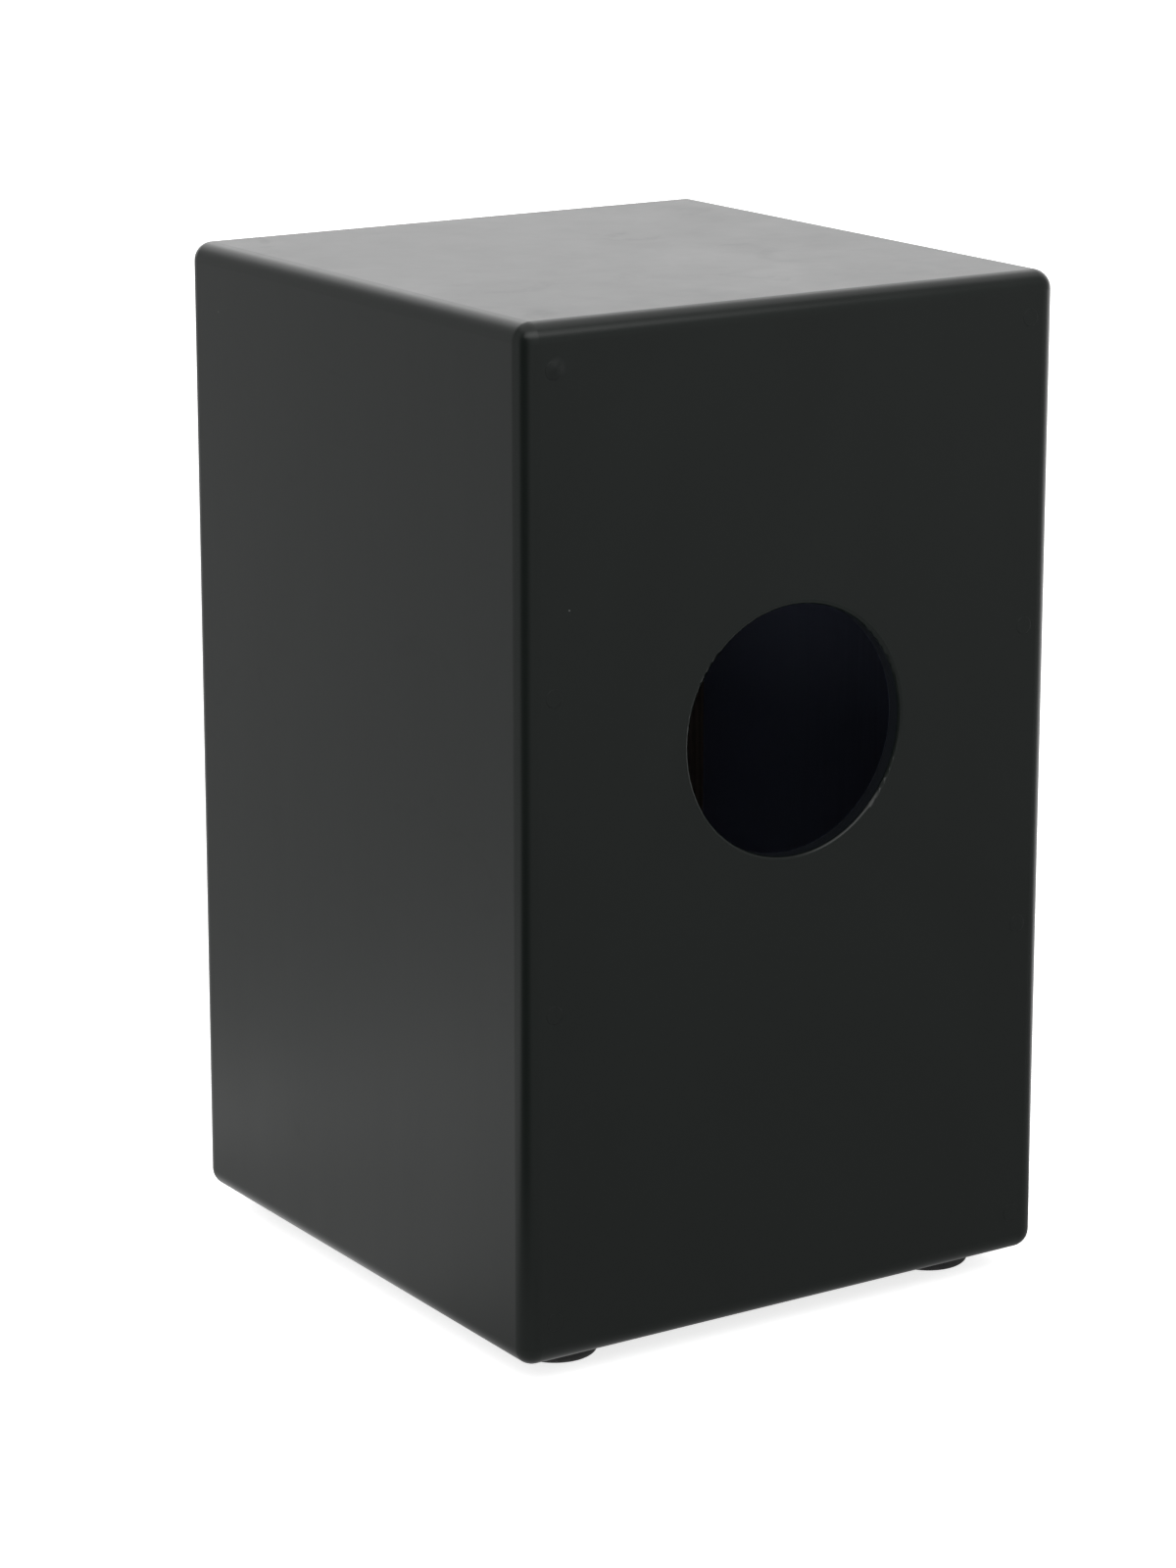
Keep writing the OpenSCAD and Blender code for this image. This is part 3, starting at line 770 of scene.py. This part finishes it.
def felt_strip(shape):
    """A cut strip of felt: soft rounded edges, ends pressed a little thinner, matted faces that dip."""
    mesh = rocker_mesh("felt_strip")
    low, high = corners_of([vertex.co for vertex in mesh.vertices])
    bpy.data.meshes.remove(mesh)
    wide = high.x - low.x
    middle_y, middle_z = (low.y + high.y) / 2, (low.z + high.z) / 2
    section = felt_outline(low, high)
    count = int(wide / FELT_STEP)
    rings = []
    for step in range(count + 1):
        share = step / count
        x = low.x + wide * share
        from_end = min(share, 1 - share) * wide
        thin = 1 - FELT_PINCH * max(0.0, 1 - from_end / FELT_PINCH_REACH) ** 2
        ring = []
        for y, z in section:
            at = Vector((x * FELT_LUMPS_ALONG, y * FELT_LUMPS_ACROSS, z * FELT_LUMPS_ACROSS))
            dip = 0.5 + 0.5 * noise.fractal(at, 0.8, 2.1, 4)
            dip = max(0.0, min(1.0, dip)) * FELT_DIP
            point = Vector((x, middle_y + (y - middle_y) * thin, middle_z + (z - middle_z) * thin))
            if high.y - y > FELT_GLUED:
                point += Vector((0, middle_y - y, middle_z - z)).normalized() * dip
            ring.append(shape.verts.new(STRAND_LEAN @ point))
        rings.append(ring)
    rings_to_skin(shape, rings)
    shape.faces.new(rings[0])
    shape.faces.new(rings[-1])


def make_pieces():
    """The pieces made here in place of plain CAD solids."""
    new_piece("back_screw_fillings", fill_screw_holes, "box", "black_paint", ["back_screw_plugs"])
    for side in ("left", "right"):
        node = side + "_snare_strands"
        new_piece(side + "_snare_coils", strands(node), "rocker", "strand_steel", [node])
        new_piece(side + "_snare_solder", solder(node), "rocker", "zinc_steel", [], MADE["solder"])
    strip = new_piece("bar_felt", felt_strip, "rocker", "felt", ["felt_strip"])


# ---------------------------------------------------------------- studio

FLOOR_SIZE = 60.0
FLOOR_ALBEDO = 0.80
FLOOR_GLOW = 0.75


def make_floor():
    """A white light table: pale, lit a little from below, so that the drum's shadow on it stays soft."""
    bpy.ops.mesh.primitive_plane_add(size=FLOOR_SIZE, location=(0, 0, 0))
    floor = bpy.context.object
    floor.name = "floor"
    made, _, shader, _ = material("floor_white", (FLOOR_ALBEDO,) * 3, 0.9, specular=0.1)
    shader.inputs["Emission Color"].default_value = (1, 1, 1, 1)
    shader.inputs["Emission Strength"].default_value = FLOOR_GLOW
    floor.data.materials.append(made)


TENT_RADIUS = 0.95
TENT_HEIGHT = 1.8
TENT_FROM, TENT_TO = 20.0, 250.0  # azimuths that it reaches from and to
TENT_STEPS = 60
TENT_FLOOR_Z = 0.5 * MM
# azimuth round the drum in degrees (0 is -Y, 90 is +X) and the card's brightness there
TENT_LEVELS = ((20, 0.57), (64, 0.57), (80, 0.70), (97, 1.00), (104, 0.56), (110, 0.04), (136, 0.04),
               (145, 0.44), (156, 0.54), (172, 0.46), (200, 0.40), (250, 0.39))
NEAR_LEVELS = ((20, 0.58), (140, 0.58), (152, 0.42), (250, 0.40))  # the same on the floor close to the drum
NEAR_REACH = (0.26, 0.55)  # distances from the drum's middle between which the near levels give way
BACK_RISE = 0.45  # how much brighter the cards that face the back are higher up
BACK_RISE_Z = (0.02, 0.34)
BACK_RISE_FROM = (146.0, 156.0)  # azimuths between which the rise sets in
TENT_LAMP = 3.1  # brightness of the lamp above the gap
TENT_LAMP_Z = (0.80, 1.10)  # heights between which it fades in
TENT_LAMP_SPAN = (118.0, 128.0, 204.0, 222.0)  # azimuths between which it fades in, then out
# a line on the floor card by the drum's side, along which a streak of light is painted: a point on it, and the way
# that leads off it away from the drum
PAINTED_STREAK_POINT = (199 * MM, -231 * MM)
PAINTED_STREAK_WAY = (0.539, -0.842)
# distance off that line in metres, and what the floor card's brightness is multiplied by there: painted light,
# brightest just past the line and raised on the drum's side of it
PAINTED_STREAK_LEVELS = ((-0.30, 1.70), (-0.05, 1.60), (0.03, 2.4), (0.15, 1.60), (0.45, 1.08), (0.90, 1.0))
PAINTED_STREAK_SPAN = (80.0, 125.0)  # azimuths between which that painted streak fades out


def curve_of(tree, value, points):
    """value mapped through straight lines between the points, held at the ends."""
    low, high = points[0][0], points[-1][0]
    made = tree.nodes.new("ShaderNodeFloatCurve")
    curve = made.mapping.curves[0]
    top = max(level for _, level in points)
    placed = [((at - low) / (high - low), level / top) for at, level in points]
    curve.points[0].location, curve.points[1].location = placed[0], placed[-1]
    for at in placed[1:-1]:
        curve.points.new(*at)
    for point in curve.points:
        point.handle_type = "VECTOR"
    made.mapping.update()
    plug(tree, made, "Value", remap(tree, value, low, high))
    return product(tree, made.outputs[0], top)


def tent_material():
    """Grey light that depends on the azimuth round the drum. Above the gap is a lamp, and on the floor by the
    drum's side a streak of light is painted into the glow, for the drum's side to mirror."""
    made, tree, shader, place = material("glowing_tent_cards", (0, 0, 0), 1.0, specular=0.0)
    x, y, z = split(tree, place)
    azimuth = calc(tree, "ARCTAN2", x, product(tree, y, -1.0))
    azimuth = calc(tree, "MODULO", total(tree, product(tree, azimuth, math.degrees(1)), 360.0), 360.0)
    away = remap(tree, length(tree, x, y), *NEAR_REACH, smooth=True)
    level = total(tree, product(tree, curve_of(tree, azimuth, TENT_LEVELS), away),
                  product(tree, curve_of(tree, azimuth, NEAR_LEVELS), less(tree, 1.0, away)))
    rise = product(tree, remap(tree, z, *BACK_RISE_Z), remap(tree, azimuth, *BACK_RISE_FROM), BACK_RISE)
    level = product(tree, level, total(tree, rise, 1.0))
    lamp = product(tree, remap(tree, z, *TENT_LAMP_Z, smooth=True),
                   remap(tree, azimuth, *TENT_LAMP_SPAN[:2]),
                   remap(tree, azimuth, *TENT_LAMP_SPAN[2:], 1.0, 0.0))
    level = total(tree, level, product(tree, lamp, TENT_LAMP))
    # painted light: a streak painted into the floor card's glow, which the drum's side mirrors
    off = total(tree, product(tree, less(tree, x, PAINTED_STREAK_POINT[0]), PAINTED_STREAK_WAY[0]),
                product(tree, less(tree, y, PAINTED_STREAK_POINT[1]), PAINTED_STREAK_WAY[1]))
    pattern = less(tree, curve_of(tree, off, PAINTED_STREAK_LEVELS), 1.0)
    share = product(tree, remap(tree, azimuth, *PAINTED_STREAK_SPAN, 1.0, 0.0, smooth=True),
                    calc(tree, "LESS_THAN", z, 2 * TENT_FLOOR_Z))
    level = product(tree, level, total(tree, product(tree, pattern, share), 1.0))
    shader.inputs["Emission Color"].default_value = (1, 1, 1, 1)
    plug(tree, shader, "Emission Strength", level)
    return made


def make_tent():
    """A round wall and floor of glowing cards on the camera's side, which only the drum's gloss mirrors: pale
    glowing cards face its side and its back, and between them is the dark gap that the camera looks through."""
    mesh = bpy.data.meshes.new("tent")
    points, faces = [(0, 0, TENT_FLOOR_Z)], []
    for step in range(TENT_STEPS + 1):
        way = direction(TENT_FROM + (TENT_TO - TENT_FROM) * step / TENT_STEPS, 0) * TENT_RADIUS
        points += [(way.x, way.y, TENT_FLOOR_Z), (way.x, way.y, TENT_HEIGHT)]
        if step:
            new = 2 * step + 1
            faces += [(new - 2, new, new + 1, new - 1), (0, new, new - 2)]
    mesh.from_pydata(points, [], faces)
    tent = bpy.data.objects.new("tent", mesh)
    bpy.context.scene.collection.objects.link(tent)
    tent.data.materials.append(tent_material())
    tent.visible_camera = False
    tent.visible_diffuse = False
    tent.visible_shadow = False
    tent.visible_transmission = False


SKY_OVERHEAD = 1.45
SKY_FAR = 2.75
SKY_NEAR = 0.60
SKY_SPREAD = (0.45, 0.97)  # cosines of the angle off the camera's way, from SKY_NEAR to SKY_FAR
SKY_RISE = (0.25, 0.85)  # sines of the elevation, from those two to SKY_OVERHEAD


def make_sky():
    """A soft white room: bright low down behind the drum, as from a backdrop, and dim round the camera."""
    world = bpy.data.worlds.new("studio")
    bpy.context.scene.world = world
    world.use_nodes = True
    tree = world.node_tree
    tree.nodes.clear()
    way = tree.nodes.new("ShaderNodeTexCoord").outputs["Generated"]
    dot = add(tree, "ShaderNodeVectorMath", {"operation": "DOT_PRODUCT"})
    tree.links.new(way, dot.inputs[0])
    dot.inputs[1].default_value = -direction(CAMERA_FROM[0], 0)
    low = remap(tree, dot.outputs["Value"], *SKY_SPREAD, SKY_NEAR, SKY_FAR, smooth=True)
    up = remap(tree, split(tree, way)[2], *SKY_RISE, smooth=True)
    level = total(tree, product(tree, low, less(tree, 1.0, up)), product(tree, up, SKY_OVERHEAD))
    shade = add(tree, "ShaderNodeBackground", Color=(1, 1, 1, 1))
    tree.links.new(level, shade.inputs["Strength"])
    out = tree.nodes.new("ShaderNodeOutputWorld")
    tree.links.new(shade.outputs[0], out.inputs[0])


# ---------------------------------------------------------------- scene

dress()
make_camera()
make_pieces()
make_floor()
make_tent()
make_sky()
bpy.context.scene.view_settings.view_transform = "Standard"
